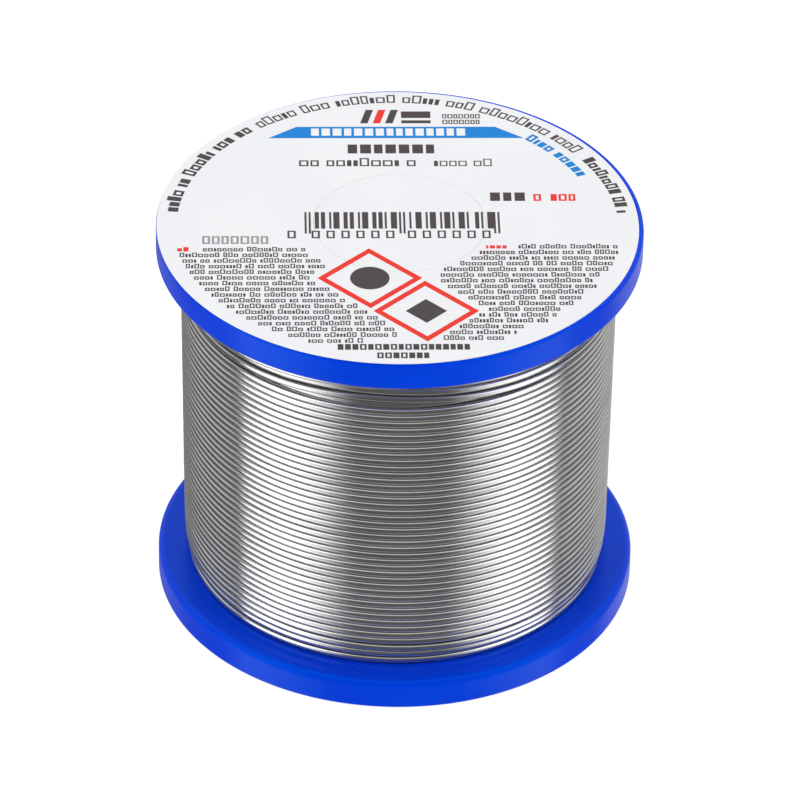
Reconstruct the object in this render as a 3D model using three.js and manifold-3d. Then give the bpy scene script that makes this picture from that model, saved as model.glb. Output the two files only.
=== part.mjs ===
// Solder wire spool: 500 g of 1 mm flux-cored solder wire, wound on a 65 mm plastic spool.
// Millimetres, +Z up along the bore. The origin is the centre of the circle it stands on.

import * as THREE from 'three';
import { mergeVertices } from 'three/addons/utils/BufferGeometryUtils.js';
import Module from 'manifold-3d';

const wasm = await Module();
wasm.setup();

// ---- Driving dimensions ---------------------------------------------------------------------

const SPOOL_HEIGHT = 56.5;
const JOIN_GAP = 0.02; // between faces that rest on each other

// Both flanges are the same moulding, the upper one turned over.
const FLANGE_RADIUS = 32.5;
const FLANGE_THICKNESS = 4.25;
const FACE_EDGE = 0.4; // chamfer between the rim and the outer face
const WIRE_EDGE = 0.9; // rounding between the rim and the face that holds the wire
const RIM_WIDTH = 2.2;
const WEB_THICKNESS = 1.8;
const BORE_RADIUS = 11.5;
const BORE_CHAMFER = 0.4;

const RIB_COUNT = 12;
const RIB_WIDTH = 1.2;
const RIB_SETBACK = 0.3; // how far the ribs stay below the rim's outer face
const RIB_OVERLAP = 0.5; // how far a rib runs into the hub, the rim and the web

// The spigot on each flange is a push fit in the core tube.
const TUBE_OUTER_RADIUS = 16;
const TUBE_INNER_RADIUS = 14;
const SPIGOT_RADIUS = 13.85;
const SPIGOT_LENGTH = 8;
const SPIGOT_LEAD = 0.5;

// The hole beside the hub that the start of the wire is fed through.
const ANCHOR_X = 17.2;
const ANCHOR_RADIUS = 0.85;

// The wire, laid in layers one wire thick.
const WIRE_RADIUS = 0.5;
const LAYER_COUNT = 13;
const LAYER_PITCH = 0.99;
const LAYER_THICKNESS = 0.95;
const FIRST_LAYER_RADIUS = TUBE_OUTER_RADIUS + 0.1;
const OUTER_RADIUS_AT_FOOT = 28.5;
const OUTER_RADIUS_ABOVE_FOOT = 29.1;
const OUTER_RADIUS_AT_HEAD = 29.5;
const FOOT_HEIGHT = 2.5; // the last turns, which sink between those of the layer below
const LAYER_END_GAP = 0.05; // between a layer and each flange

// The start of the wire: down through the anchor hole, then outward under the web.
const TAIL_TOP = FLANGE_THICKNESS - 0.25;
const TAIL_LEVEL = 1.9;
const TAIL_END_X = 26.5;
const TAIL_END_Y = 1.6;

// The free end of the wire: it springs off the winding, behind and near the top.
const FREE_END_START_RADIUS = OUTER_RADIUS_AT_HEAD + WIRE_RADIUS + 0.3;
const FREE_END_LIFT = 1.3;
const FREE_END_ANGLE = THREE.MathUtils.degToRad(112);
const FREE_END_SWEEP = THREE.MathUtils.degToRad(-34);
const FREE_END_HEIGHT = 48.8;
const FREE_END_RISE = 0.8;

// The paper label sits slightly off the bore's axis; its cut line follows the bore.
const LABEL_RADIUS = 32.1;
const LABEL_OFFSET_X = -0.28;
const LABEL_OFFSET_Y = -0.26;
const LABEL_THICKNESS = 0.15;
const CUT_LINE_RADIUS = BORE_RADIUS;
const CUT_LINE_WIDTH = 0.1;

// ---- Facets ---------------------------------------------------------------------------------

const FLANGE_SEGMENTS = 60;
const WINDING_SEGMENTS = 40;
const HOLE_SEGMENTS = 12;
const WIRE_SIDES = 8;
const WIRE_STEPS = 14;

// ---- Solids and geometries ------------------------------------------------------------------

function toSolid(geometry) {
  const bare = geometry.clone();
  bare.deleteAttribute('normal');
  bare.deleteAttribute('uv');
  const welded = mergeVertices(bare, 1e-4);
  return new wasm.Manifold(new wasm.Mesh({
    numProp: 3,
    vertProperties: Float32Array.from(welded.attributes.position.array),
    triVerts: Uint32Array.from(welded.index.array),
  }));
}

function toGeometry(solid) {
  const mesh = solid.getMesh();
  const geometry = new THREE.BufferGeometry();
  geometry.setAttribute('position', new THREE.BufferAttribute(mesh.vertProperties, 3));
  geometry.setIndex(new THREE.BufferAttribute(mesh.triVerts, 1));
  geometry.computeVertexNormals();
  return geometry;
}

// A ring turned about Z from a closed outline of [radius, height] points.
function turned(outline, segments) {
  const points = [...outline, outline[0]].map(([r, z]) => new THREE.Vector2(r, z));
  return new THREE.LatheGeometry(points, segments).rotateX(Math.PI / 2);
}

// A round section swept along a smooth curve.
function wireAlong(points) {
  const section = new THREE.Shape().absarc(0, 0, WIRE_RADIUS, 0, 2 * Math.PI);
  return new THREE.ExtrudeGeometry(section, {
    extrudePath: new THREE.CatmullRomCurve3(points),
    steps: WIRE_STEPS,
    curveSegments: WIRE_SIDES / 2,
    bevelEnabled: false,
  });
}

// ---- Flange ---------------------------------------------------------------------------------

// The rounded edge of the rim on the side that holds the wire, from the rim to the face.
function roundedWireEdge() {
  const centreRadius = FLANGE_RADIUS - WIRE_EDGE;
  const centreHeight = FLANGE_THICKNESS - WIRE_EDGE;
  return [0, 30, 60, 90].map((degrees) => {
    const angle = THREE.MathUtils.degToRad(degrees);
    return [
      centreRadius + WIRE_EDGE * Math.cos(angle),
      centreHeight + WIRE_EDGE * Math.sin(angle),
    ];
  });
}

function flangeBody() {
  const recess = FLANGE_THICKNESS - WEB_THICKNESS;
  const rimInner = FLANGE_RADIUS - RIM_WIDTH;
  const spigotTop = FLANGE_THICKNESS + SPIGOT_LENGTH;
  return turned([
    [BORE_RADIUS + BORE_CHAMFER, 0],
    [TUBE_OUTER_RADIUS, 0],
    [TUBE_OUTER_RADIUS, recess],
    [rimInner, recess],
    [rimInner, 0],
    [FLANGE_RADIUS - FACE_EDGE, 0],
    [FLANGE_RADIUS, FACE_EDGE],
    ...roundedWireEdge(),
    [SPIGOT_RADIUS, FLANGE_THICKNESS],
    [SPIGOT_RADIUS, spigotTop - SPIGOT_LEAD],
    [SPIGOT_RADIUS - SPIGOT_LEAD, spigotTop],
    [BORE_RADIUS, spigotTop],
    [BORE_RADIUS, BORE_CHAMFER],
  ], FLANGE_SEGMENTS);
}

// One radial rib between the hub and the rim. The ribs stand half a pitch off the X axis.
function rib(index) {
  const inner = TUBE_OUTER_RADIUS - RIB_OVERLAP;
  const outer = FLANGE_RADIUS - RIM_WIDTH + RIB_OVERLAP;
  const top = FLANGE_THICKNESS - WEB_THICKNESS + RIB_OVERLAP;
  const box = new THREE.BoxGeometry(outer - inner, RIB_WIDTH, top - RIB_SETBACK);
  box.translate((outer + inner) / 2, 0, (top + RIB_SETBACK) / 2);
  return box.rotateZ(((index + 0.5) * 2 * Math.PI) / RIB_COUNT);
}

function anchorHole() {
  const pin = new THREE.CylinderGeometry(
    ANCHOR_RADIUS, ANCHOR_RADIUS, 2 * FLANGE_THICKNESS, HOLE_SEGMENTS,
  );
  return pin.rotateX(Math.PI / 2).translate(ANCHOR_X, 0, FLANGE_THICKNESS);
}

function flange() {
  let solid = toSolid(flangeBody());
  for (let i = 0; i < RIB_COUNT; i += 1) {
    solid = solid.add(toSolid(rib(i)));
  }
  return toGeometry(solid.subtract(toSolid(anchorHole())));
}

// ---- Core tube and winding ------------------------------------------------------------------

function coreTube() {
  const bottom = FLANGE_THICKNESS + JOIN_GAP;
  const top = SPOOL_HEIGHT - bottom;
  return turned([
    [TUBE_INNER_RADIUS, bottom],
    [TUBE_OUTER_RADIUS, bottom],
    [TUBE_OUTER_RADIUS, top],
    [TUBE_INNER_RADIUS, top],
  ], WINDING_SEGMENTS);
}

// A layer under the outermost one, as a plain ring one wire thick.
function windingLayer(index) {
  const inner = FIRST_LAYER_RADIUS + index * LAYER_PITCH;
  const foot = FLANGE_THICKNESS + LAYER_END_GAP;
  const head = SPOOL_HEIGHT - foot;
  return turned([
    [inner, foot],
    [inner + LAYER_THICKNESS, foot],
    [inner + LAYER_THICKNESS, head],
    [inner, head],
  ], WINDING_SEGMENTS);
}

// The outermost layer, a little larger at its head and drawn in at its foot.
function outermostLayer() {
  const inner = FIRST_LAYER_RADIUS + (LAYER_COUNT - 1) * LAYER_PITCH;
  const foot = FLANGE_THICKNESS + LAYER_END_GAP;
  const head = SPOOL_HEIGHT - foot;
  return turned([
    [inner, foot],
    [OUTER_RADIUS_AT_FOOT, foot],
    [OUTER_RADIUS_ABOVE_FOOT, foot + FOOT_HEIGHT],
    [OUTER_RADIUS_AT_HEAD, head],
    [inner, head],
  ], WINDING_SEGMENTS);
}

function wireStartTail() {
  const bend = TAIL_TOP - TAIL_LEVEL;
  return wireAlong([
    new THREE.Vector3(ANCHOR_X, 0, TAIL_TOP),
    new THREE.Vector3(ANCHOR_X, 0, TAIL_LEVEL + 0.55 * bend),
    new THREE.Vector3(ANCHOR_X + 0.5, 0, TAIL_LEVEL + 0.15 * bend),
    new THREE.Vector3(ANCHOR_X + 1.6, 0, TAIL_LEVEL),
    new THREE.Vector3((ANCHOR_X + TAIL_END_X) / 2, 0.2 * TAIL_END_Y, TAIL_LEVEL),
    new THREE.Vector3(TAIL_END_X, TAIL_END_Y, TAIL_LEVEL),
  ]);
}

function wireFreeEnd() {
  const points = [];
  for (let i = 0; i <= WIRE_STEPS; i += 1) {
    const t = i / WIRE_STEPS;
    const angle = FREE_END_ANGLE + t * FREE_END_SWEEP;
    const radius = FREE_END_START_RADIUS + FREE_END_LIFT * t * t;
    points.push(new THREE.Vector3(
      radius * Math.cos(angle),
      radius * Math.sin(angle),
      FREE_END_HEIGHT + FREE_END_RISE * t,
    ));
  }
  return wireAlong(points);
}

// ---- Label ----------------------------------------------------------------------------------

function paper(shape) {
  return new THREE.ExtrudeGeometry(shape, {
    depth: LABEL_THICKNESS,
    curveSegments: FLANGE_SEGMENTS / 2,
    bevelEnabled: false,
  }).translate(0, 0, SPOOL_HEIGHT + JOIN_GAP);
}

function topLabel() {
  const outline = new THREE.Shape();
  outline.absarc(LABEL_OFFSET_X, LABEL_OFFSET_Y, LABEL_RADIUS, 0, 2 * Math.PI);
  const cut = new THREE.Path();
  cut.absarc(0, 0, CUT_LINE_RADIUS + CUT_LINE_WIDTH / 2, 0, 2 * Math.PI);
  outline.holes.push(cut);
  return paper(outline);
}

function labelPunchOut() {
  const outline = new THREE.Shape();
  outline.absarc(0, 0, CUT_LINE_RADIUS - CUT_LINE_WIDTH / 2, 0, 2 * Math.PI);
  return paper(outline);
}

// ---- Assembly -------------------------------------------------------------------------------

const bluePlastic = { color: 0x0a44cf, roughness: 0.35, metalness: 0 };
const tinLeadSolder = { color: 0x9b9c9d, roughness: 0.35, metalness: 0.9 };
const whitePaper = { color: 0xf1f2f4, roughness: 0.55, metalness: 0 };

const group = new THREE.Group();

function addMesh(name, geometry, finish, parent = group) {
  const mesh = new THREE.Mesh(geometry, new THREE.MeshStandardMaterial(finish));
  mesh.name = name;
  parent.add(mesh);
}

addMesh('lower_flange', flange(), bluePlastic);

const turnedOver = new THREE.Group();
turnedOver.rotation.x = Math.PI;
turnedOver.position.z = SPOOL_HEIGHT;
group.add(turnedOver);
addMesh('upper_flange', flange(), bluePlastic, turnedOver);

addMesh('core_tube', coreTube(), bluePlastic);
for (let i = 0; i < LAYER_COUNT; i += 1) {
  const number = String(i + 1).padStart(2, '0');
  const layer = i === LAYER_COUNT - 1 ? outermostLayer() : windingLayer(i);
  addMesh(`winding_layer_${number}`, layer, tinLeadSolder);
}
addMesh('wire_start_tail', wireStartTail(), tinLeadSolder);
addMesh('wire_free_end', wireFreeEnd(), tinLeadSolder);
addMesh('top_label', topLabel(), whitePaper);
addMesh('label_punch_out', labelPunchOut(), whitePaper);

export default group;
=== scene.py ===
"""Solder wire spool: how it looks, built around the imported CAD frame.

Metres, +Z up along the bore, origin in the middle of the circle that the spool stands on.
An azimuth is measured from the front of the spool (-Y) towards its right (+X).
"""

import math
import random

import bmesh
import bpy
import numpy as np
from mathutils import Matrix, Vector


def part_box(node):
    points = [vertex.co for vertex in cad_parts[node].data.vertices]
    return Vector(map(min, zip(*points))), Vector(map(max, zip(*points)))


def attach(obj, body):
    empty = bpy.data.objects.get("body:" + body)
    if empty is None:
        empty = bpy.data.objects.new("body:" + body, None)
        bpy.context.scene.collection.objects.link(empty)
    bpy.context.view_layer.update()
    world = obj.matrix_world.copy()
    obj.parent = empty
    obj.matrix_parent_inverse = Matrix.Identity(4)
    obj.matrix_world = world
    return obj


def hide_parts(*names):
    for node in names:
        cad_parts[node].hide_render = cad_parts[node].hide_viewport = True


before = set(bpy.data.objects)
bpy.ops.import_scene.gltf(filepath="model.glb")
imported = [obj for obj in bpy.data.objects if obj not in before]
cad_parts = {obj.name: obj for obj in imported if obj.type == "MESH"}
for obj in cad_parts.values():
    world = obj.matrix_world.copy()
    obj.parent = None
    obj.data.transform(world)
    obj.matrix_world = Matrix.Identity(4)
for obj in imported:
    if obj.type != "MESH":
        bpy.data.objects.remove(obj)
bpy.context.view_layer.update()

MM = 0.001
ROOT = "root"

# ---- Sizes taken from the frame ---------------------------------------------------------------

flange_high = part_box("lower_flange")[1]
tube_low, tube_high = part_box("core_tube")
winding_low, winding_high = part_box("winding_layer_13")
label_low, label_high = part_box("top_label")
tail_low, tail_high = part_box("wire_start_tail")

SPOOL_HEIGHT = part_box("upper_flange")[1].z
FLANGE_RADIUS = flange_high.x
TUBE_RADIUS = tube_high.x
JOIN_GAP = 0.02 * MM
FLANGE_THICKNESS = tube_low.z - JOIN_GAP
SPIGOT_TOP = flange_high.z

# ---- Flange moulding --------------------------------------------------------------------------

BORE_RADIUS = 11.5 * MM
SPIGOT_RADIUS = 13.85 * MM
RIM_WIDTH = 2.2 * MM
WEB_THICKNESS = 1.8 * MM
FACE_EDGE = 0.4 * MM
WIRE_EDGE = 0.9 * MM
SMALL_EDGE = 0.25 * MM
ROOT_FILLET = 0.45 * MM
SPIGOT_LEAD = 0.5 * MM
TUBE_SLIDE_GAP = 0.15 * MM
TUBE_EDGE = 0.15 * MM
TUBE_STEPS = 160
RIB_COUNT = 12
RIB_TOP = 0.3 * MM
RIB_HALF_TOP = 0.5 * MM
RIB_HALF_FOOT = 0.6 * MM
LINES_BETWEEN_RIBS = 14
ANCHOR_X = 17.2 * MM
ANCHOR_RADIUS = 0.85 * MM

# ---- Wire -------------------------------------------------------------------------------------

WIRE_RADIUS = 0.5 * MM
WIRE_SIDES = 16
UNDER_LAYER_SIDES = 12
UNDER_LAYER_STEPS_PER_TURN = 96
STEPS_PER_TURN = 144
TURN_PITCH = 1.027 * MM
FIRST_REGULAR_TURN = 5
LAST_REGULAR_TURN = 41
FIRST_REGULAR_HEIGHT = 9.347 * MM

# Height of the outermost layer's wire, in millimetres, against the number of turns made. A whole
# number of turns is at the front. The first turns step up past each other above the lower flange.
FOOT_TURNS = [
    (0.50, 4.80), (1.25, 4.84), (1.60, 5.40), (1.86, 5.84), (2.00, 5.97), (2.14, 6.22),
    (2.60, 6.62), (2.86, 6.88), (3.00, 7.08), (3.14, 7.42), (3.60, 7.80), (3.86, 8.08),
    (4.00, 8.32), (4.14, 8.47),
]
# The last turns ride up at the front, where the layer below shows through, and crowd together
# under the upper flange. The wire then lifts over them, comes down on the left and ends behind.
HEAD_TURNS = [
    (41.12, 46.42), (41.50, 46.85), (41.75, 47.12), (41.87, 47.32), (41.95, 47.90),
    (42.00, 48.50), (42.03, 48.45), (42.07, 48.10), (42.12, 47.78), (42.30, 47.88),
    (42.60, 48.25), (42.87, 48.65), (42.94, 49.05), (43.00, 49.70), (43.05, 49.65),
    (43.11, 49.15), (43.30, 49.15), (43.60, 49.55), (43.88, 49.85), (43.94, 50.15),
    (44.00, 50.75), (44.05, 50.65), (44.11, 50.15), (44.30, 50.25), (44.60, 50.90),
    (44.80, 51.55), (45.00, 51.35), (45.20, 50.30),
]
FREE_END_START_TURN = 45.44
FREE_END_TURNS = 34 / 360
FREE_END_RADIUS = 30.3 * MM
FREE_END_LIFT = 1.3 * MM
FREE_END_HEIGHT = 48.8 * MM
FREE_END_RISE = 0.8 * MM
# Radius of the wire's centre, in millimetres, against its height in millimetres.
LAYER_TAPER = [(4.78, 27.95), (5.9, 28.05), (6.9, 28.3), (8.7, 28.4), (51.7, 28.75)]
# The underside, where each turn lies on the turn below, is painted darker and less metallic as
# painted shade in that crevice: a span of distance round the wire, with soft edges.
PAINTED_SHADE_SPAN = [angle * math.pi / 180 * WIRE_RADIUS for angle in (35, 60, 145, 172)]
CROSSING_START_TURN = 44.8
CROSSING_END_TURN = 45.05
CROSSING_RADIUS = 29.98 * MM
# The wire comes up from the layer below over its first fifth of a turn.
STEP_UP = 0.8 * MM
STEP_UP_TURNS = 0.2
UNDER_LAYER_RADIUS = 27.45 * MM
UNDER_LAYER_FRONT_HEIGHT = 46.1 * MM
# One turn of that layer bulges out at the front, into the gap that the raised turns leave.
BULGING_TURN = -1
BULGE = 0.7 * MM
BULGE_TURNS = (0.06, 0.16)
# A band texture of scale 1 repeats every 0.314 m.
PITCH_BAND_SCALE = 0.1 * math.pi / TURN_PITCH
WIRE_WANDER = 0.03 * MM
OUTER_HEIGHT_WANDER = 0.035 * MM
TAIL_BEND = 1.1 * MM
TAIL_END_MARGIN = 0.1 * MM
FLUX_CORE_COUNT = 3
FLUX_CORE_RADIUS = 0.11 * MM
FLUX_CORE_OFFSET = 0.24 * MM
FLUX_CORE_DEPTH = 0.2 * MM
FLUX_CORE_PROUD = 0.012 * MM

# ---- Label ------------------------------------------------------------------------------------

PAPER_THICKNESS = 0.10 * MM
INK_THICKNESS = 0.02 * MM
CUT_LINE_WIDTH = 0.035 * MM
LABEL_TURN = math.radians(1.8)
label_middle = (label_low + label_high) / 2
PAPER_LOW = label_low.z
PAPER_HIGH = PAPER_LOW + PAPER_THICKNESS
LABEL_RADIUS = (label_high.x - label_low.x) / 2

# The artwork, in millimetres from the middle of the label.
DIAMONDS = [(-3.95, -12.7), (3.3, -20.25)]
DIAMOND_REACH = 6.9
DIAMOND_LINE = 1.15
DISC_RADIUS = 2.6
INNER_DIAMOND_REACH = 2.7
TEXT_LINES = 17
TEXT_TOP = -6.45
TEXT_PITCH = 1.31
TEXT_HEIGHT = 1.0
TEXT_STROKE = 0.17
TEXT_LEAD_STROKE = 0.26
TEXT_RIGHT_LIFT = 0.6
TEXT_RADIUS = 30.0
TEXT_CLEAR = 12.9
BARCODE_LEFT = -12.4
BARCODE_RIGHT = 13.6
BARCODE_TOP = 2.75
BAR_FOOT = -1.15
GUARD_FOOT = -2.3
BARCODE_MODULES = 95
GUARD_MODULES = [0, 2, 46, 48, 92, 94]
BANNER = [(-17.1, 20.65), (17.5, 20.65), (13.7, 23.4), (-13.3, 23.4)]
# Straight lines of blank marks: ink, left, right, foot, height, stroke, and whether the marks are
# all alike or grouped in words.
MARK_LINES = [
    ("white", -11.3, 10.8, 21.2, 1.75, 0.45, True),
    ("dark", 6.6, 11.8, 25.5, 1.0, 0.16, True),
    ("dark", 6.6, 11.8, 24.1, 1.0, 0.16, True),
    ("dark", -6.4, 6.7, 16.9, 2.15, 0.5, True),
    ("dark", -13.0, 2.9, 13.8, 1.95, 0.25, False),
    ("dark", 5.2, 13.2, 13.8, 1.75, 0.18, False),
    ("dark", 12.5, 17.2, 5.4, 2.0, 0.55, True),
    ("red", 18.3, 19.6, 5.4, 1.6, 0.3, True),
    ("red", 20.6, 24.6, 5.4, 1.6, 0.3, True),
    ("grey", -26.0, -16.6, -4.7, 1.8, 0.28, True),
    ("dark", -8.4, 8.9, -29.0, 1.25, 0.26, True),
    ("dark", -3.3, 3.9, -30.9, 1.25, 0.26, True),
]
# Curved lines of them: ink, start and end in degrees clockwise from the top, inner radius, height
# and stroke.
CURVED_LINES = [
    ("dark", -84.4, -40, 29.4, 1.9, 0.36),
    ("dark", -38, 57, 29.4, 1.9, 0.24),
    ("dark", 59, 87, 29.4, 1.7, 0.34),
    ("blue", 41, 68, 26.9, 1.7, 0.36),
]

# ---- Camera -----------------------------------------------------------------------------------

CAMERA_AIM = Vector((0.40 * MM, 0, 27.55 * MM))
CAMERA_DISTANCE = 896.9 * MM
CAMERA_ELEVATION = math.radians(35.73)
CAMERA_ROLL = math.radians(0.945)
CAMERA_LENS = 297.5


def make_camera():
    data = bpy.data.cameras.new("camera")
    data.lens = CAMERA_LENS
    data.sensor_width = 36
    data.clip_end = 200
    camera = bpy.data.objects.new("camera", data)
    bpy.context.scene.collection.objects.link(camera)
    tilt = Matrix.Rotation(math.pi / 2 - CAMERA_ELEVATION, 4, "X")
    roll = Matrix.Rotation(CAMERA_ROLL, 4, "Z")
    back = (tilt @ Vector((0, 0, 1, 0))).to_3d()
    camera.matrix_world = Matrix.Translation(CAMERA_AIM + back * CAMERA_DISTANCE) @ tilt @ roll
    bpy.context.scene.camera = camera


# ---- Mesh helpers -----------------------------------------------------------------------------

def make_piece(name, vertices, faces, material, replaces=()):
    """A smooth-shaded closed mesh that rides on the spool."""
    mesh = bpy.data.meshes.new(name)
    mesh.from_pydata([tuple(v) for v in vertices], [], faces)
    mesh.materials.append(material)
    piece = bpy.data.objects.new(name, mesh)
    bpy.context.scene.collection.objects.link(piece)
    finish_piece(piece, replaces)
    return piece


def finish_piece(piece, replaces):
    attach(piece, ROOT)
    if replaces:
        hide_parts(*replaces)


def tidy_mesh(mesh, merge_distance=1e-7, sharp_degrees=40):
    """Merges doubled points, turns every face outward and marks the sharp edges."""
    work = bmesh.new()
    work.from_mesh(mesh)
    bmesh.ops.remove_doubles(work, verts=work.verts, dist=merge_distance)
    bmesh.ops.recalc_face_normals(work, faces=work.faces)
    work.to_mesh(mesh)
    work.free()
    mesh.shade_smooth()
    mesh.set_sharp_from_angle(angle=math.radians(sharp_degrees))


def arc(centre_r, centre_z, radius, start, end, steps=6):
    """Points (r, z) on an arc, from the start angle to the end angle in degrees."""
    points = []
    for i in range(steps + 1):
        angle = math.radians(start + (end - start) * i / steps)
        points.append((centre_r + radius * math.cos(angle), centre_z + radius * math.sin(angle)))
    return points


def grid_faces(rows, columns):
    """Quads of a grid that closes on itself both ways."""
    faces = []
    for i in range(rows):
        for j in range(columns):
            i2 = (i + 1) % rows
            j2 = (j + 1) % columns
            faces.append((i * columns + j, i2 * columns + j, i2 * columns + j2, i * columns + j2))
    return faces


def cut_hole(piece, x, y, radius, low, high, segments=48):
    """Cuts an upright round hole through a piece."""
    bpy.ops.mesh.primitive_cylinder_add(
        vertices=segments, radius=radius, depth=high - low, location=(x, y, (low + high) / 2))
    pin = bpy.context.object
    cut = piece.modifiers.new("hole", "BOOLEAN")
    cut.operation = "DIFFERENCE"
    cut.solver = "EXACT"
    cut.object = pin
    bpy.context.view_layer.objects.active = piece
    bpy.ops.object.modifier_apply(modifier=cut.name)
    bpy.data.objects.remove(pin)


# ---- Node helpers -----------------------------------------------------------------------------

def new_material(name):
    """A material with its Principled shader, as (material, tree, shader)."""
    material = bpy.data.materials.new(name)
    material.use_nodes = True
    return material, material.node_tree, material.node_tree.nodes["Principled BSDF"]


def add_node(tree, kind, inputs=(), **settings):
    """Adds a node, sets what its settings say and fills its inputs, by value or by link."""
    node = tree.nodes.new(kind)
    for key, value in settings.items():
        setattr(node, key, value)
    for key, value in dict(inputs).items():
        if isinstance(value, bpy.types.NodeSocket):
            tree.links.new(value, node.inputs[key])
        else:
            node.inputs[key].default_value = value
    return node


def math_node(tree, operation, first, second=0.0):
    node = add_node(tree, "ShaderNodeMath", operation=operation)
    for socket, value in zip(node.inputs, (first, second)):
        if isinstance(value, bpy.types.NodeSocket):
            tree.links.new(value, socket)
        else:
            socket.default_value = value
    return node.outputs[0]


def window(tree, value, edges):
    """One between the middle two edges, nothing beyond the outer two, eased in between."""
    rise = add_node(tree, "ShaderNodeMapRange", {
        "Value": value, "From Min": edges[0], "From Max": edges[1]},
        interpolation_type="SMOOTHSTEP")
    fall = add_node(tree, "ShaderNodeMapRange", {
        "Value": value, "From Min": edges[2], "From Max": edges[3], "To Min": 1.0, "To Max": 0.0},
        interpolation_type="SMOOTHSTEP")
    return math_node(tree, "MULTIPLY", rise.outputs["Result"], fall.outputs["Result"])


def noise(tree, scale, vector, detail=3.0, roughness=0.5):
    node = add_node(tree, "ShaderNodeTexNoise", {
        "Scale": scale, "Detail": detail, "Roughness": roughness, "Vector": vector})
    return node.outputs["Fac"]


def blend_colours(tree, factor, low, high, start=0.35, end=0.65):
    ramp = add_node(tree, "ShaderNodeValToRGB", {"Fac": factor})
    ramp.color_ramp.elements[0].position = start
    ramp.color_ramp.elements[0].color = (*low, 1)
    ramp.color_ramp.elements[1].position = end
    ramp.color_ramp.elements[1].color = (*high, 1)
    return ramp.outputs["Color"]


def blend_values(tree, factor, low, high, start=0.3, end=0.7):
    span = add_node(tree, "ShaderNodeMapRange", {
        "Value": factor, "From Min": start, "From Max": end, "To Min": low, "To Max": high})
    return span.outputs["Result"]


def add_bump(tree, shader, height, distance, strength=1.0, under=None):
    inputs = {"Height": height, "Distance": distance, "Strength": strength}
    if under is not None:
        inputs["Normal"] = under
    bump = add_node(tree, "ShaderNodeBump", inputs)
    tree.links.new(bump.outputs["Normal"], shader.inputs["Normal"])
    return bump.outputs["Normal"]


def object_coordinates(tree):
    return add_node(tree, "ShaderNodeTexCoord").outputs["Object"]


def stretched(tree, vector, scale):
    return add_node(tree, "ShaderNodeMapping", {"Vector": vector, "Scale": scale}).outputs["Vector"]


# ---- Materials --------------------------------------------------------------------------------

def blue_plastic():
    """Glossy moulded polystyrene with faint flow marks and a fine satin texture."""
    material, tree, shader = new_material("blue_plastic")
    place = object_coordinates(tree)
    flow = noise(tree, 60, stretched(tree, place, (1, 1, 3)), detail=2)
    grain = noise(tree, 2600, place, detail=2)
    ripple = noise(tree, 140, place, detail=1)
    colour = blend_colours(tree, flow, (0.0, 0.039, 0.68), (0.0002, 0.047, 0.73))
    tree.links.new(colour, shader.inputs["Base Color"])
    tree.links.new(blend_values(tree, ripple, 0.20, 0.30, 0.15, 0.85), shader.inputs["Roughness"])
    shader.inputs["IOR"].default_value = 1.5
    shader.inputs["Specular IOR Level"].default_value = 0.3
    shader.inputs["Specular Tint"].default_value = (0.0, 0.6, 1.0, 1)
    waves = add_bump(tree, shader, ripple, 0.00008, 0.35)
    add_bump(tree, shader, grain, 0.000004, 0.35, waves)
    return material


def solder_wire():
    """Bright drawn tin-lead wire: lines along its length, faint stains, small dents, and painted
    shade on each turn's underside against the turn below.
    """
    material, tree, shader = new_material("solder_wire")
    along = add_node(tree, "ShaderNodeUVMap", uv_map="wire").outputs["UV"]
    place = object_coordinates(tree)
    lines = noise(tree, 1, stretched(tree, along, (90, 9000, 1)), detail=2)
    patches = noise(tree, 1, stretched(tree, along, (45, 500, 1)), detail=3)
    dents = noise(tree, 900, place, detail=1)
    around_wire = add_node(tree, "ShaderNodeSeparateXYZ", {"Vector": along}).outputs["Y"]
    # Painted shade: a band round the underside of every turn, where it sits in the crevice on the
    # turn below.
    painted_shade = window(tree, around_wire, PAINTED_SHADE_SPAN)
    bare_wire_colour = blend_colours(tree, patches, (0.60, 0.60, 0.597), (0.74, 0.74, 0.735))
    # The painted shade's colour, much darker than the bare wire.
    painted_shade_colour = blend_colours(tree, patches, (0.20, 0.20, 0.20), (0.30, 0.30, 0.30))
    colour = add_node(tree, "ShaderNodeMix", data_type="RGBA")
    for socket, source in (("Factor_Float", painted_shade), ("A_Color", bare_wire_colour), ("B_Color", painted_shade_colour)):
        tree.links.new(source, next(i for i in colour.inputs if i.identifier == socket))
    tree.links.new(colour.outputs[2], shader.inputs["Base Color"])
    polish = blend_values(tree, patches, 0.20, 0.12)
    roughness = math_node(tree, "ADD", polish, math_node(tree, "MULTIPLY", painted_shade, 0.25))
    tree.links.new(roughness, shader.inputs["Roughness"])
    # The painted shade also takes most of the metal's mirror off that band, so it shows less
    # reflection there.
    tree.links.new(blend_values(tree, painted_shade, 1.0, 0.25, 0.0, 1.0), shader.inputs["Metallic"])
    shader.inputs["Specular IOR Level"].default_value = 0.2
    shader.inputs["Anisotropic"].default_value = 0.5
    shader.inputs["Anisotropic Rotation"].default_value = 0.25
    drawn = add_node(tree, "ShaderNodeTangent", direction_type="UV_MAP", uv_map="wire")
    tree.links.new(drawn.outputs["Tangent"], shader.inputs["Tangent"])
    worn = add_bump(tree, shader, dents, 0.00002, 0.25)
    add_bump(tree, shader, lines, 0.000003, 0.3, worn)
    return material


def packed_solder():
    """The solder deep in the winding, banded at the pitch of its turns."""
    material, tree, shader = new_material("packed_solder")
    place = object_coordinates(tree)
    turns = add_node(tree, "ShaderNodeTexWave", {
        "Vector": place, "Scale": PITCH_BAND_SCALE, "Distortion": 0.4, "Detail": 1.0},
        wave_type="BANDS", bands_direction="Z").outputs["Fac"]
    patches = noise(tree, 260, stretched(tree, place, (1, 1, 6)), detail=3)
    colour = blend_colours(tree, patches, (0.46, 0.46, 0.45), (0.62, 0.615, 0.60))
    tree.links.new(colour, shader.inputs["Base Color"])
    tree.links.new(blend_values(tree, patches, 0.34, 0.22), shader.inputs["Roughness"])
    shader.inputs["Metallic"].default_value = 1.0
    add_bump(tree, shader, turns, 0.0002, 0.8)
    return material


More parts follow.
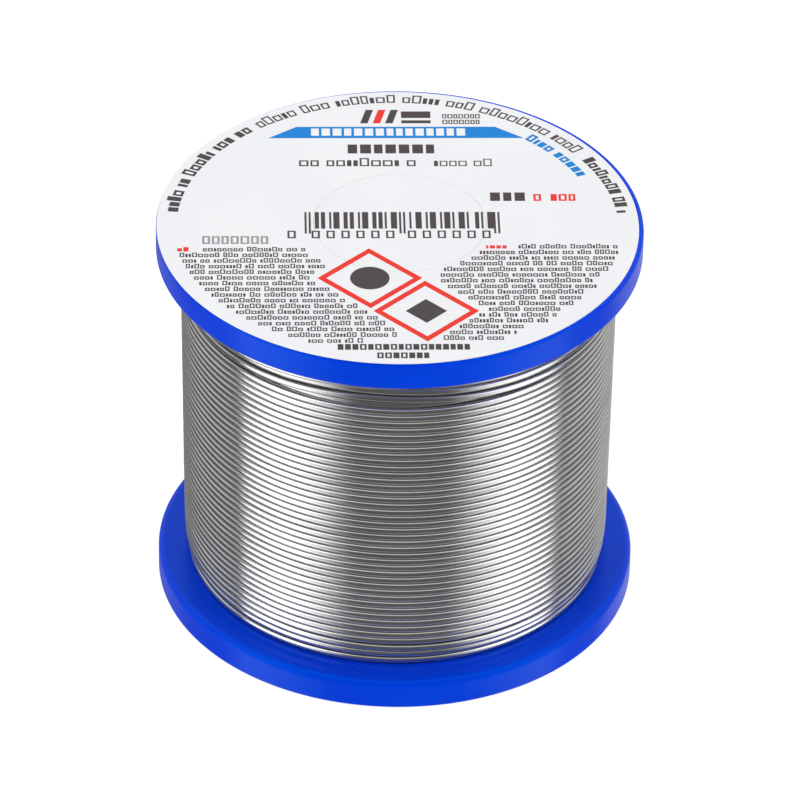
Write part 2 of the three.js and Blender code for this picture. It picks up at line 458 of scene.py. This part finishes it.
def label_paper():
    """Coated white paper: hardly any tone of its own, a fine fibre and a soft sheen."""
    material, tree, shader = new_material("label_paper")
    place = object_coordinates(tree)
    fibre = noise(tree, 1500, stretched(tree, place, (1, 2.2, 1)), detail=4)
    cloud = noise(tree, 70, place, detail=2)
    colour = blend_colours(tree, cloud, (0.82, 0.83, 0.855), (0.85, 0.857, 0.877))
    tree.links.new(colour, shader.inputs["Base Color"])
    tree.links.new(blend_values(tree, cloud, 0.42, 0.52), shader.inputs["Roughness"])
    add_bump(tree, shader, fibre, 0.000004, 0.4)
    return material


def ink(name, low, high):
    """Printing ink on the label, a little uneven where the paper shows through."""
    material, tree, shader = new_material(name)
    speckle = noise(tree, 3000, object_coordinates(tree), detail=3)
    tree.links.new(blend_colours(tree, speckle, low, high), shader.inputs["Base Color"])
    tree.links.new(blend_values(tree, speckle, 0.4, 0.6), shader.inputs["Roughness"])
    shader.inputs["Specular IOR Level"].default_value = 0.2
    add_bump(tree, shader, speckle, 0.000003, 0.4)
    return material


def flux_resin():
    """The rosin flux in the cores of the wire, amber and glassy."""
    material, tree, shader = new_material("flux_resin")
    cloud = noise(tree, 4000, object_coordinates(tree), detail=2)
    tree.links.new(blend_colours(tree, cloud, (0.22, 0.09, 0.015), (0.42, 0.2, 0.04)),
                   shader.inputs["Base Color"])
    tree.links.new(blend_values(tree, cloud, 0.15, 0.4), shader.inputs["Roughness"])
    add_bump(tree, shader, cloud, 0.000004, 0.5)
    return material


# ---- Flange -----------------------------------------------------------------------------------

def flange_profile():
    """The flange's outline as (r, z) points with its outer face down, and the recess's points."""
    t = FLANGE_THICKNESS
    floor = t - WEB_THICKNESS
    rim_inner = FLANGE_RADIUS - RIM_WIDTH
    hub = arc(BORE_RADIUS + FACE_EDGE, FACE_EDGE, FACE_EDGE, 180, 270)
    hub += [(TUBE_RADIUS - 2 * SMALL_EDGE, 0)]
    recess = arc(TUBE_RADIUS - SMALL_EDGE, SMALL_EDGE, SMALL_EDGE, 270, 360)
    recess += [(TUBE_RADIUS, floor * share) for share in (0.2, 0.4, 0.6)]
    recess += arc(TUBE_RADIUS + ROOT_FILLET, floor - ROOT_FILLET, ROOT_FILLET, 180, 90)
    span = rim_inner - TUBE_RADIUS - 2 * ROOT_FILLET
    recess += [(TUBE_RADIUS + ROOT_FILLET + span * i / 9, floor) for i in range(1, 9)]
    recess += arc(rim_inner - ROOT_FILLET, floor - ROOT_FILLET, ROOT_FILLET, 90, 0)
    recess += [(rim_inner, floor * share) for share in (0.6, 0.4, 0.2)]
    recess += arc(rim_inner + SMALL_EDGE, SMALL_EDGE, SMALL_EDGE, 180, 270)
    rim = [(FLANGE_RADIUS - 1.25 * FACE_EDGE, 0)]
    rim += arc(FLANGE_RADIUS - FACE_EDGE, FACE_EDGE, FACE_EDGE, 270, 360)
    rim += [(FLANGE_RADIUS, 1.3 * FACE_EDGE), (FLANGE_RADIUS, t - 1.1 * WIRE_EDGE)]
    rim += arc(FLANGE_RADIUS - WIRE_EDGE, t - WIRE_EDGE, WIRE_EDGE, 0, 90, 9)
    rim += [(FLANGE_RADIUS - 1.15 * WIRE_EDGE, t), (SPIGOT_RADIUS + SMALL_EDGE, t)]
    spigot = [(SPIGOT_RADIUS, t), (SPIGOT_RADIUS, SPIGOT_TOP - SPIGOT_LEAD)]
    spigot += [(SPIGOT_RADIUS - SPIGOT_LEAD, SPIGOT_TOP), (BORE_RADIUS + SMALL_EDGE, SPIGOT_TOP)]
    spigot += [(BORE_RADIUS, SPIGOT_TOP - SMALL_EDGE), (BORE_RADIUS, 1.2 * FACE_EDGE)]
    points = hub + recess + rim + spigot
    return points, range(len(hub), len(hub) + len(recess))


def rib_section():
    """Half of a rib's section, from its middle out: (offset, depth below the outer face)."""
    floor = FLANGE_THICKNESS - WEB_THICKNESS
    crown = RIB_HALF_FOOT - RIB_HALF_TOP
    section = [(0, RIB_TOP), (RIB_HALF_TOP - crown, RIB_TOP)]
    section += [(RIB_HALF_TOP - 0.3 * crown, RIB_TOP + 0.3 * crown)]
    section += [(RIB_HALF_TOP, RIB_TOP + crown)]
    section += [(RIB_HALF_FOOT, floor - ROOT_FILLET)]
    section += [(RIB_HALF_FOOT + 0.13 * ROOT_FILLET, floor - 0.5 * ROOT_FILLET)]
    section += [(RIB_HALF_FOOT + 0.5 * ROOT_FILLET, floor - 0.13 * ROOT_FILLET)]
    section += [(RIB_HALF_FOOT + ROOT_FILLET, floor)]
    return section


def flange_lines(radii):
    """The lines across the flange, each as its angle at every radius and how deep it may go."""
    section = rib_section()
    offsets = [(-offset, depth) for offset, depth in reversed(section[1:])] + section
    pitch = 2 * math.pi / RIB_COUNT
    edge = np.arcsin(section[-1][0] / radii)
    lines = []
    for rib in range(RIB_COUNT):
        middle = (rib + 0.5) * pitch
        for offset, depth in offsets:
            lines.append((middle + np.arcsin(offset / radii), depth))
        for i in range(1, LINES_BETWEEN_RIBS):
            share = i / LINES_BETWEEN_RIBS
            lines.append((middle + edge + share * (pitch - 2 * edge), section[-1][1]))
    return lines


def flange_mesh(name):
    """The ribbed flange with its outer face down."""
    profile, recess = flange_profile()
    radii = np.array([r for r, z in profile])
    heights = np.array([z for r, z in profile])
    in_recess = np.zeros(len(profile), bool)
    in_recess[list(recess)] = True
    vertices = []
    lines = flange_lines(radii)
    for angle, depth in lines:
        z = np.where(in_recess, np.minimum(heights, depth), heights)
        vertices.append(np.stack([radii * np.cos(angle), radii * np.sin(angle), z], axis=-1))
    mesh = bpy.data.meshes.new(name)
    points = np.concatenate(vertices).tolist()
    mesh.from_pydata(points, [], grid_faces(len(lines), len(profile)))
    tidy_mesh(mesh)
    return mesh


def make_flanges(material):
    """Both flanges are one moulding, the upper one turned over."""
    lower = bpy.data.objects.new("flange_lower", flange_mesh("flange_lower"))
    bpy.context.scene.collection.objects.link(lower)
    cut_hole(lower, ANCHOR_X, 0, ANCHOR_RADIUS, 0.5 * MM, 2 * FLANGE_THICKNESS)
    tidy_mesh(lower.data)
    lower.data.materials.append(material)
    upper = bpy.data.objects.new("flange_upper", lower.data.copy())
    bpy.context.scene.collection.objects.link(upper)
    turned_over = Matrix.Translation((0, 0, SPOOL_HEIGHT)) @ Matrix.Rotation(math.pi, 4, "X")
    upper.data.transform(turned_over)
    finish_piece(lower, ["lower_flange"])
    finish_piece(upper, ["upper_flange"])


def make_core_tube(material):
    """The tube between the flanges, with its ends lightly broken."""
    inner = SPIGOT_RADIUS + TUBE_SLIDE_GAP
    edge = TUBE_EDGE
    low, high = tube_low.z, tube_high.z
    outline = [(inner + edge, low), (TUBE_RADIUS - edge, low), (TUBE_RADIUS, low + edge)]
    outline += [(TUBE_RADIUS, high - edge), (TUBE_RADIUS - edge, high), (inner + edge, high)]
    outline += [(inner, high - edge), (inner, low + edge)]
    vertices = []
    for i in range(TUBE_STEPS):
        angle = 2 * math.pi * i / TUBE_STEPS
        vertices += [(r * math.cos(angle), r * math.sin(angle), z) for r, z in outline]
    tube = make_piece("tube_core", vertices, grid_faces(TUBE_STEPS, len(outline)), material,
                      ["core_tube"])
    tidy_mesh(tube.data)


# ---- Wire -------------------------------------------------------------------------------------

def wire_faces(count, sides):
    """Quads along a round wire with count sections, then its two flat ends."""
    faces = []
    for i in range(count - 1):
        for k in range(sides):
            k2 = (k + 1) % sides
            faces.append((i * sides + k, i * sides + k2, (i + 1) * sides + k2, (i + 1) * sides + k))
    last = (count - 1) * sides
    faces.append(tuple(reversed(range(sides))))
    faces.append(tuple(range(last, last + sides)))
    return faces


def map_wire(mesh, lengths, sides, radius):
    """The wire's UV map in metres: along its length, then round it from its hidden inner side."""
    layer = mesh.uv_layers.new(name="wire")
    step = 2 * math.pi * radius / sides
    start, end = lengths[:-1], lengths[1:]
    across = np.arange(sides) * step
    quads = np.zeros((len(start), sides, 4, 2))
    quads[..., 0, 0] = quads[..., 1, 0] = start[:, None]
    quads[..., 2, 0] = quads[..., 3, 0] = end[:, None]
    quads[..., 0, 1] = quads[..., 3, 1] = across
    quads[..., 1, 1] = quads[..., 2, 1] = across + step
    flat = np.concatenate([quads.reshape(-1, 2), np.zeros((2 * sides, 2))])
    layer.data.foreach_set("uv", flat.ravel())


def make_wire(name, centres, outward, material, replaces, sides=WIRE_SIDES):
    """A round wire along its centre points. outward points away from the winding at each."""
    along = np.gradient(centres, axis=0)
    along /= np.linalg.norm(along, axis=1)[:, None]
    side = outward - (outward * along).sum(1)[:, None] * along
    side /= np.linalg.norm(side, axis=1)[:, None]
    other = np.cross(along, side)
    angles = math.pi + 2 * math.pi * np.arange(sides) / sides
    ring = side[:, None] * np.cos(angles)[:, None] + other[:, None] * np.sin(angles)[:, None]
    vertices = (centres[:, None] + WIRE_RADIUS * ring).reshape(-1, 3)
    wire = make_piece(name, vertices.tolist(), wire_faces(len(centres), sides), material,
                      replaces)
    steps = np.linalg.norm(np.diff(centres, axis=0), axis=1)
    map_wire(wire.data, np.concatenate([[0], np.cumsum(steps)]), sides, WIRE_RADIUS)
    wire.data.shade_smooth()
    wire.data.set_sharp_from_angle(angle=math.radians(50))
    return along


def smooth(values, width):
    """A moving average that leaves both ends where they are."""
    padded = np.pad(values, width, mode="reflect", reflect_type="odd")
    kernel = np.hanning(2 * width + 3)[1:-1]
    return np.convolve(padded, kernel / kernel.sum(), mode="valid")


def wander(turns, size, seed):
    """A slow irregularity of a hand's breadth along the wire, never more than size."""
    dice = random.Random(seed)
    waves = [(dice.uniform(0.6, 3.4), dice.uniform(0, 2 * math.pi)) for _ in range(7)]
    total = sum(np.sin(2 * math.pi * rate * turns + phase) for rate, phase in waves)
    return size * total / len(waves)


def share_of(values, start, end):
    """How far each value is from start to end, from nothing to one."""
    return np.clip((values - start) / (end - start), 0, 1)


def outer_layer_path():
    """Azimuth, radius and height of the outermost layer's wire, ending in its free end."""
    regular = range(FIRST_REGULAR_TURN, LAST_REGULAR_TURN + 1)
    knots = [(turn, height * MM) for turn, height in FOOT_TURNS]
    knots += [(turn, FIRST_REGULAR_HEIGHT + (turn - FIRST_REGULAR_TURN) * TURN_PITCH)
              for turn in regular]
    knots += [(turn, height * MM) for turn, height in HEAD_TURNS]
    knots += [(FREE_END_START_TURN, FREE_END_HEIGHT)]
    last_turn = FREE_END_START_TURN + FREE_END_TURNS
    knots += [(last_turn, FREE_END_HEIGHT + FREE_END_RISE)]
    first_turn = FOOT_TURNS[0][0]
    count = round((last_turn - first_turn) * STEPS_PER_TURN)
    turns = np.linspace(first_turn, last_turn, count)
    height = smooth(np.interp(turns, *zip(*knots)), 7)
    taper_heights, taper_radii = zip(*LAYER_TAPER)
    radius = MM * np.interp(height / MM, taper_heights, taper_radii)
    radius -= STEP_UP * (1 - share_of(turns, first_turn, first_turn + STEP_UP_TURNS))
    crossing = share_of(turns, CROSSING_START_TURN, CROSSING_END_TURN)
    crossing = crossing * crossing * (3 - 2 * crossing)
    radius += crossing * (CROSSING_RADIUS - radius)
    climb = share_of(turns, CROSSING_END_TURN, FREE_END_START_TURN)
    radius += climb * (FREE_END_RADIUS - CROSSING_RADIUS)
    spring = share_of(turns, FREE_END_START_TURN, last_turn)
    radius += FREE_END_LIFT * spring ** 2
    loose = 1 - crossing
    height += wander(turns, OUTER_HEIGHT_WANDER, 5) * loose
    radius += wander(turns, WIRE_WANDER, 8) * loose
    return -2 * math.pi * turns, smooth(radius, 5), height


def under_layer_path():
    """The layer below, from its top down. It is wound the other way, so it leans the other way."""
    low = winding_low.z + WIRE_RADIUS
    high = winding_high.z - WIRE_RADIUS
    first_turn = (UNDER_LAYER_FRONT_HEIGHT - high) / TURN_PITCH
    last_turn = (UNDER_LAYER_FRONT_HEIGHT - low) / TURN_PITCH
    count = round((last_turn - first_turn) * UNDER_LAYER_STEPS_PER_TURN)
    turns = np.linspace(first_turn, last_turn, count)
    height = UNDER_LAYER_FRONT_HEIGHT - turns * TURN_PITCH + wander(turns, WIRE_WANDER, 4)
    radius = UNDER_LAYER_RADIUS + wander(turns, WIRE_WANDER, 3)
    radius += BULGE * (1 - share_of(np.abs(turns - BULGING_TURN), *BULGE_TURNS))
    return -2 * math.pi * turns, smooth(radius, 7), height


def around(azimuth, radius, height):
    """Points and outward directions from azimuths, radii and heights."""
    outward = np.stack([np.sin(azimuth), -np.cos(azimuth), np.zeros(len(azimuth))], axis=-1)
    points = outward * radius[:, None]
    points[:, 2] = height
    return points, outward


def start_tail_path():
    """Down through the anchor hole, round a bend and outward under the web."""
    radius = WIRE_RADIUS
    level = tail_low.z + radius
    bend = TAIL_BEND
    top = tail_high.z
    points = [(ANCHOR_X, 0, top - (top - level - bend) * i / 6) for i in range(6)]
    for i in range(13):
        angle = math.pi / 2 * i / 12
        points.append((ANCHOR_X + bend - bend * math.cos(angle), 0,
                       level + bend - bend * math.sin(angle)))
    end_x = tail_high.x - TAIL_END_MARGIN
    end_y = tail_high.y - radius
    start_x = ANCHOR_X + bend
    for i in range(1, 25):
        share = i / 24
        points.append((start_x + (end_x - start_x) * share, end_y * share ** 2, level))
    return np.array(points)


def make_wires(material, flux):
    points, outward = around(*outer_layer_path())
    along = make_wire("winding_outer", points, outward, material,
                      ["winding_layer_13", "wire_free_end"])
    make_flux_cores(points[-1], along[-1], flux)
    points, outward = around(*under_layer_path())
    make_wire("winding_under", points, outward, material, ["winding_layer_12"],
              UNDER_LAYER_SIDES)
    tail = start_tail_path()
    sideways = np.tile((0.0, 1.0, 0.0), (len(tail), 1))
    make_wire("wire_start", tail, sideways, material, ["wire_start_tail"])


def make_flux_cores(tip, direction, material):
    """Three threads of flux that show in the cut end of the wire."""
    spin = Vector(direction).to_track_quat("Z", "Y").to_matrix()
    vertices, faces = [], []
    sides = 16
    for core in range(FLUX_CORE_COUNT):
        turn = 2 * math.pi * core / FLUX_CORE_COUNT
        middle = Vector((math.cos(turn), math.sin(turn), 0)) * FLUX_CORE_OFFSET
        first = len(vertices)
        for lift in (-FLUX_CORE_DEPTH, FLUX_CORE_PROUD):
            for k in range(sides):
                angle = 2 * math.pi * k / sides
                spot = middle + Vector((math.cos(angle), math.sin(angle), 0)) * FLUX_CORE_RADIUS
                spot.z = lift
                vertices.append(Vector(tip) + spin @ spot)
        for k in range(sides):
            k2 = (k + 1) % sides
            faces.append((first + k, first + k2, first + sides + k2, first + sides + k))
        faces.append(tuple(first + k for k in reversed(range(sides))))
        faces.append(tuple(first + sides + k for k in range(sides)))
    cores = make_piece("flux_cores", vertices, faces, material)
    tidy_mesh(cores.data)


# ---- Label ------------------------------------------------------------------------------------

def circle(radius, centre_x=0.0, centre_y=0.0, steps=240):
    angles = [2 * math.pi * i / steps for i in range(steps)]
    return [(centre_x + radius * math.cos(a), centre_y + radius * math.sin(a)) for a in angles]


class Sheet:
    """Flat closed shapes of one ink or paper, gathered into one piece."""

    def __init__(self, low, high):
        self.low = low
        self.high = high
        self.vertices = []
        self.faces = []

    def add_loop(self, outline, z):
        first = len(self.vertices)
        self.vertices += [(x, y, z) for x, y in outline]
        return [first + i for i in range(len(outline))]

    def add_band(self, first, second):
        for i in range(len(first)):
            j = (i + 1) % len(first)
            self.faces.append((first[i], first[j], second[j], second[i]))

    def add(self, outline):
        """A flat shape with this outline."""
        bottom = self.add_loop(outline, self.low)
        top = self.add_loop(outline, self.high)
        self.add_band(bottom, top)
        self.faces += [tuple(reversed(bottom)), tuple(top)]

    def add_ring(self, outer, inner):
        """A flat shape between two outlines that have as many points each."""
        loops = [self.add_loop(outer, self.low), self.add_loop(outer, self.high),
                 self.add_loop(inner, self.high), self.add_loop(inner, self.low)]
        for i in range(4):
            self.add_band(loops[i], loops[(i + 1) % 4])

    def make(self, name, material, slot=None, replaces=()):
        piece = make_piece(name, self.vertices, self.faces, material, replaces)
        tidy_mesh(piece.data, merge_distance=1e-9, sharp_degrees=30)


def printed(points):
    """Moves an outline from the artwork's own frame, in millimetres, onto the label."""
    c, s = math.cos(LABEL_TURN), math.sin(LABEL_TURN)
    return [(label_middle.x + MM * (x * c - y * s), label_middle.y + MM * (x * s + y * c))
            for x, y in points]


def bar(sheet, left, right, low, high, slant=0.0):
    sheet.add(printed([(left, low), (right, low), (right + slant, high), (left + slant, high)]))


def print_mark(sheet, place, x, width, height, stroke):
    """A blank box where a character would be, or a solid block when it is too narrow for one."""
    outer = [(x, 0), (x + width, 0), (x + width, height), (x, height)]
    outer = printed([place(u, v) for u, v in outer])
    if width < 3 * stroke:
        sheet.add(outer)
        return
    inner = [(x + stroke, stroke), (x + width - stroke, stroke),
             (x + width - stroke, height - stroke), (x + stroke, height - stroke)]
    sheet.add_ring(outer, printed([place(u, v) for u, v in inner]))


def print_marks(sheet, place, length, height, stroke, dice, even=False):
    """Blank boxes in words, along a line that place() lays on the label."""
    x = 0.0
    gap = max(0.8 * stroke, 0.14 * height)
    while x < length - 2 * stroke:
        for _ in range(99 if even else dice.randint(2, 8)):
            narrow = not even and dice.random() < 0.2
            width = (0.3 if narrow else dice.uniform(0.51, 0.69)) * height
            if x + width > length:
                x = length
                break
            tall = 1.0 if even else 0.72 if narrow else dice.choice((0.72, 0.72, 1.0))
            print_mark(sheet, place, x, width, tall * height, stroke)
            x += width + gap
        x += 0.4 * height


def word_line(sheet, left, right, low, height, stroke, dice, even=False):
    print_marks(sheet, lambda x, y: (left + x, low + y), right - left, height, stroke, dice, even)


def curved_line(sheet, start, end, inner, height, stroke, dice):
    """Blank boxes round the rim. The angles are in degrees, clockwise from the top."""
    def place(x, y):
        angle = math.radians(start) + x / (inner + height / 2)
        return (inner + y) * math.sin(angle), (inner + y) * math.cos(angle)

    length = math.radians(end - start) * (inner + height / 2)
    print_marks(sheet, place, length, height, stroke, dice)


def diamond(centre_x, centre_y, reach):
    return [(centre_x + reach, centre_y), (centre_x, centre_y + reach),
            (centre_x - reach, centre_y), (centre_x, centre_y - reach)]


def diamond_side(centre, y):
    """How far a diamond reaches sideways at height y, or nothing outside it."""
    return max(0.0, DIAMOND_REACH - abs(y - centre[1]))


def print_text_blocks(dark, red, dice):
    """Two blocks of small print between the rim, the cut line and the diamonds."""
    first, second = DIAMONDS
    for i in range(TEXT_LINES):
        y = TEXT_TOP - TEXT_PITCH * i
        rim = math.sqrt(TEXT_RADIUS ** 2 - y ** 2)
        hole = math.sqrt(max(0.0, TEXT_CLEAR ** 2 - y ** 2))
        left_end = min(-hole - 0.6, -0.6) if i < TEXT_LINES - 1 else -5.0
        if diamond_side(first, y):
            left_end = min(left_end, first[0] - diamond_side(first, y) - 1.3)
        if diamond_side(second, y) and not diamond_side(first, y):
            left_end = min(left_end, second[0] - diamond_side(second, y) - 1.2)
        y2 = y + TEXT_RIGHT_LIFT
        right_start = max(hole + 0.4, 5.4, second[0] + diamond_side(second, y2) + 1.3)
        right_end = math.sqrt(TEXT_RADIUS ** 2 - y2 ** 2) - dice.uniform(0, 0.12 * i)
        left_start = -rim
        if i == 0:
            word_line(red, left_start, left_start + 2.6, y, TEXT_HEIGHT, TEXT_LEAD_STROKE, dice)
            left_start += 3.4
            word_line(red, right_start, right_start + 3.4, y2, TEXT_HEIGHT, TEXT_LEAD_STROKE, dice)
            right_start += 4.3
        word_line(dark, left_start, left_end, y, TEXT_HEIGHT, TEXT_STROKE, dice)
        word_line(dark, right_start, right_end, y2, TEXT_HEIGHT, TEXT_STROKE, dice)


def print_barcode(dark, dice):
    """Upright bars of chance widths between longer guard bars, over a row of blank boxes."""
    step = (BARCODE_RIGHT - BARCODE_LEFT) / BARCODE_MODULES
    for at in GUARD_MODULES:
        x = BARCODE_LEFT + at * step
        bar(dark, x, x + step, GUARD_FOOT, BARCODE_TOP)
    for start in [3 + 7 * i for i in range(6)] + [50 + 7 * i for i in range(6)]:
        gap, first, space = dice.choice(((1, 2, 1), (2, 1, 1), (1, 1, 2), (1, 1, 3), (2, 2, 1)))
        second = min(7 - gap - first - space, 3)
        x = BARCODE_LEFT + (start + gap) * step
        bar(dark, x, x + first * step, BAR_FOOT, BARCODE_TOP)
        x += (first + space) * step
        bar(dark, x, x + second * step, BAR_FOOT, BARCODE_TOP)
    for i in range(13):
        x = -14.7 if i == 0 else -11.5 + 1.98 * (i - 1) + (0.9 if i > 6 else 0)
        print_mark(dark, lambda u, v: (u, v - 3.4), x, 1.1, 1.75, 0.26)


def print_heading(dark, blue, red):
    """The banner and the plain marks over it."""
    blue.add(printed(BANNER))
    for i in range(3):
        sheet = red if i == 1 else dark
        bar(sheet, -4.6 + 1.7 * i, -3.6 + 1.7 * i, 24.3, 27.6, 0.8)
    bar(dark, 1.0, 5.0, 25.6, 27.2)
    bar(dark, 1.0, 5.0, 24.3, 25.0)


def print_pictograms(dark, red):
    """Two red diamonds, each round a plain dark shape."""
    for x, y in DIAMONDS:
        red.add_ring(printed(diamond(x, y, DIAMOND_REACH)),
                     printed(diamond(x, y, DIAMOND_REACH - DIAMOND_LINE)))
    first, second = DIAMONDS
    dark.add(printed(circle(DISC_RADIUS, *first, steps=48)))
    dark.add(printed(diamond(*second, INNER_DIAMOND_REACH)))


def make_label(paper, inks):
    """The paper, its push-out centre and all that is printed on them."""
    centre = (label_middle.x, label_middle.y)
    sheet = Sheet(PAPER_LOW, PAPER_HIGH)
    sheet.add_ring(circle(LABEL_RADIUS, *centre), circle(BORE_RADIUS + CUT_LINE_WIDTH / 2))
    sheet.make("label_sheet", paper, "label_paper", ["top_label"])
    sheet = Sheet(PAPER_LOW, PAPER_HIGH)
    sheet.add(circle(BORE_RADIUS - CUT_LINE_WIDTH / 2))
    sheet.make("label_centre", paper, "label_paper", ["label_punch_out"])
    first_coat = PAPER_HIGH + INK_THICKNESS
    sheets = {name: Sheet(PAPER_HIGH, first_coat) for name in ("dark", "blue", "red", "grey")}
    sheets["white"] = Sheet(first_coat, first_coat + INK_THICKNESS)
    dark, blue, red = (sheets[name] for name in ("dark", "blue", "red"))
    dice = random.Random(17)
    print_heading(dark, blue, red)
    for ink_name, left, right, low, height, stroke, even in MARK_LINES:
        word_line(sheets[ink_name], left, right, low, height, stroke, dice, even)
    print_barcode(dark, dice)
    print_text_blocks(dark, red, dice)
    print_pictograms(dark, red)
    for ink_name, start, end, inner, height, stroke in CURVED_LINES:
        curved_line(sheets[ink_name], start, end, inner, height, stroke, dice)
    for name, one in sheets.items():
        one.make(f"print_{name}", inks[name])


# ---- CAD nodes that stay ----------------------------------------------------------------------

def finish_inner_layers(material):
    """The layers below stay as the frame has them."""
    for name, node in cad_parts.items():
        if name.startswith("winding_layer_") and not node.hide_render:
            for place in node.material_slots:
                place.link = "OBJECT"
                place.material = material


# ---- Studio -----------------------------------------------------------------------------------

FLOOR_RADIUS = 3.0
FLOOR_STEPS = 96
WALL_HEIGHT = 1.2
ROOM_RADIANCE = 0.12

# The studio's light, one zone a line: where it rises and falls in azimuth, the same in elevation
# (all in degrees, azimuth from the front towards the right) and how much it adds.
ALL_ROUND = (-361, -360, 360, 361)
STUDIO = {
    "left_softbox": ((-83, -78, -54, -20), (-60, -50, 57, 66), 1.6),
    "right_softbox": ((26, 64, 81, 90), (-60, -50, 57, 66), 1.5),
    "back_left": ((-361, -360, -96, -84), (5, 18, 50, 56), 0.55),
    "back_right": ((86, 100, 360, 361), (-4, 12, 50, 56), 0.55),
    "floor_back_left": ((-361, -360, -135, -115), (-60, -50, 5, 18), 0.15),
    "floor_back_right": ((115, 130, 360, 361), (-60, -50, -8, 2), 0.42),
    "ceiling": (ALL_ROUND, (42, 52, 360, 361), 0.75),
    "overhead": (ALL_ROUND, (66, 74, 360, 361), 1.3),
}


def glowing(name, colour, diffuse, strength):
    """A backlit white surface."""
    material, tree, shader = new_material(name)
    shader.inputs["Base Color"].default_value = (*[c * diffuse for c in colour], 1)
    shader.inputs["Roughness"].default_value = 0.9
    shader.inputs["Specular IOR Level"].default_value = 0.0
    shader.inputs["Emission Color"].default_value = (*colour, 1)
    shader.inputs["Emission Strength"].default_value = strength
    return material


def make_floor():
    """A backlit white table that the shiny parts don't mirror, and a far wall for low views."""
    ring = [(x, y, 0) for x, y in circle(FLOOR_RADIUS, steps=FLOOR_STEPS)]
    mesh = bpy.data.meshes.new("floor")
    mesh.from_pydata(ring, [], [tuple(range(FLOOR_STEPS))])
    mesh.materials.append(glowing("floor_white", (1, 1, 1), 0.30, 0.84))
    floor = bpy.data.objects.new("floor", mesh)
    floor.visible_glossy = False
    high = [(x, y, WALL_HEIGHT) for x, y, z in ring]
    sides = []
    for i in range(FLOOR_STEPS):
        j = (i + 1) % FLOOR_STEPS
        sides.append((i, j, FLOOR_STEPS + j, FLOOR_STEPS + i))
    mesh = bpy.data.meshes.new("backdrop")
    mesh.from_pydata(ring + high, [], sides)
    mesh.materials.append(glowing("backdrop_white", (1, 1, 1), 0.0, 1.0))
    wall = bpy.data.objects.new("backdrop", mesh)
    wall.visible_diffuse = wall.visible_glossy = False
    floor.visible_shadow = wall.visible_shadow = False
    for stage in (floor, wall):
        bpy.context.scene.collection.objects.link(stage)


def make_room():
    """Two tall softboxes, a soft ceiling and a dim room, by direction."""
    world = bpy.data.worlds.new("room")
    world.use_nodes = True
    tree = world.node_tree
    direction = add_node(tree, "ShaderNodeTexCoord").outputs["Generated"]
    parts = add_node(tree, "ShaderNodeSeparateXYZ", {"Vector": direction}).outputs
    towards = math_node(tree, "ARCTAN2", parts["X"], math_node(tree, "MULTIPLY", parts["Y"], -1.0))
    azimuth = math_node(tree, "DEGREES", towards)
    elevation = math_node(tree, "DEGREES", math_node(tree, "ARCSINE", parts["Z"]))
    total = ROOM_RADIANCE
    for azimuth_edges, elevation_edges, radiance in STUDIO.values():
        zone = math_node(tree, "MULTIPLY", window(tree, azimuth, azimuth_edges),
                         window(tree, elevation, elevation_edges))
        total = math_node(tree, "ADD", math_node(tree, "MULTIPLY", zone, radiance), total)
    background = tree.nodes["Background"]
    background.inputs["Color"].default_value = (1, 1, 1, 1)
    tree.links.new(total, background.inputs["Strength"])
    bpy.context.scene.world = world
    bpy.context.scene.view_settings.view_transform = "Standard"


# ---- Everything together ----------------------------------------------------------------------

make_camera()
plastic = blue_plastic()
make_flanges(plastic)
make_core_tube(plastic)
make_wires(solder_wire(), flux_resin())
finish_inner_layers(packed_solder())
make_label(label_paper(), {
    "dark": ink("ink_dark", (0.055, 0.042, 0.048), (0.085, 0.068, 0.075)),
    "grey": ink("ink_grey", (0.27, 0.27, 0.28), (0.34, 0.34, 0.35)),
    "blue": ink("ink_blue", (0.002, 0.19, 0.60), (0.006, 0.25, 0.70)),
    "red": ink("ink_red", (0.78, 0.026, 0.018), (0.86, 0.045, 0.032)),
    "white": ink("ink_white", (0.82, 0.83, 0.85), (0.88, 0.88, 0.90)),
})
make_room()
make_floor()
